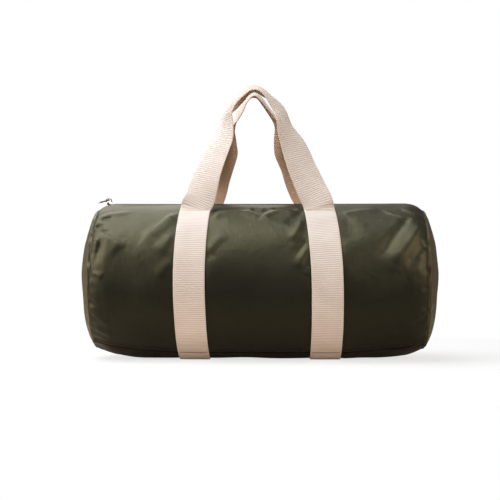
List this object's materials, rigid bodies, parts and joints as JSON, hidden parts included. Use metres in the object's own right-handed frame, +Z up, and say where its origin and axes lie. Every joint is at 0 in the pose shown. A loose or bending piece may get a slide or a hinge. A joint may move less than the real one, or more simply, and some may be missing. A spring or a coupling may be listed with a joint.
{
  "type": "barrel bag",
  "caption": "Olive cloth barrel bag with domed ends, pale webbing straps that run on into twin carry handles, and a zip along the top that bends down over the ends.",
  "frame": {"origin": "centre of the bag's outline on the plane that the strap undersides rest on", "axes": "+X along the barrel to the right end, -Y to the front, +Z up through the handles"},
  "size_m": [0.58, 0.2646, 0.4478],
  "materials": {
    "olive_cloth": "matt woven nylon",
    "end_cloth": "matt woven nylon",
    "base_cloth": "matt woven nylon",
    "webbing": "ribbed cotton webbing",
    "seam_tape": "matt woven tape",
    "zip_tape": "matt woven tape",
    "zip_tab": "matt woven tape",
    "zip_teeth": "matt moulded",
    "zip_metal": "satin nickel"
  },
  "bodies": {
    "bag": {"front_panel": "olive_cloth", "back_panel": "olive_cloth", "bottom_panel": "base_cloth", "left_end_panel": "end_cloth", "right_end_panel": "end_cloth", "left_seam_tape": "seam_tape", "right_seam_tape": "seam_tape", "left_strap": "webbing", "right_strap": "webbing", "left_tape_end": "zip_tape", "right_tape_end": "zip_tape", "left_teeth_end": "zip_teeth", "right_teeth_end": "zip_teeth", "top_stop": "zip_metal", "bottom_stop": "zip_metal", "left_zip_tab": "zip_tab", "right_zip_tab": "zip_tab"},
    "front_mouth": {"front_flap": "olive_cloth", "front_zip_tape": "zip_tape", "front_teeth": "zip_teeth"},
    "back_mouth": {"back_flap": "olive_cloth", "back_zip_tape": "zip_tape", "back_teeth": "zip_teeth"},
    "zip_slider": {"slider": "zip_metal", "slider_bail": "zip_metal"},
    "zip_puller": {"puller": "zip_metal"},
    "front_grip": {"front_handle": "webbing"},
    "back_grip": {"back_handle": "webbing"}
  },
  "joints": [
    {"name": "front_flap_fold", "type": "hinge", "parent": "bag", "child": "front_mouth", "pos_m": [0, -0.04528, 0.2456], "axis": [1, 0, 0], "range_deg": [0, 62]},
    {"name": "back_flap_fold", "type": "hinge", "parent": "bag", "child": "back_mouth", "pos_m": [0, 0.04528, 0.2456], "axis": [-1, 0, 0], "range_deg": [0, 62]},
    {"name": "front_handle_swing", "type": "hinge", "parent": "bag", "child": "front_grip", "pos_m": [0, -0.05815, 0.24515], "axis": [1, 0, 0], "range_deg": [0, 105]},
    {"name": "back_handle_swing", "type": "hinge", "parent": "bag", "child": "back_grip", "pos_m": [0, 0.05815, 0.24515], "axis": [-1, 0, 0], "range_deg": [0, 105]},
    {"name": "zip_run", "type": "slide", "parent": "bag", "child": "zip_slider", "axis": [1, 0, 0], "range_m": [0, 0.504]},
    {"name": "puller_tip", "type": "hinge", "parent": "zip_slider", "child": "zip_puller", "pos_m": [-0.252, 0, 0.26181], "axis": [0, 1, 0], "range_deg": [0, 203]}
  ]
}
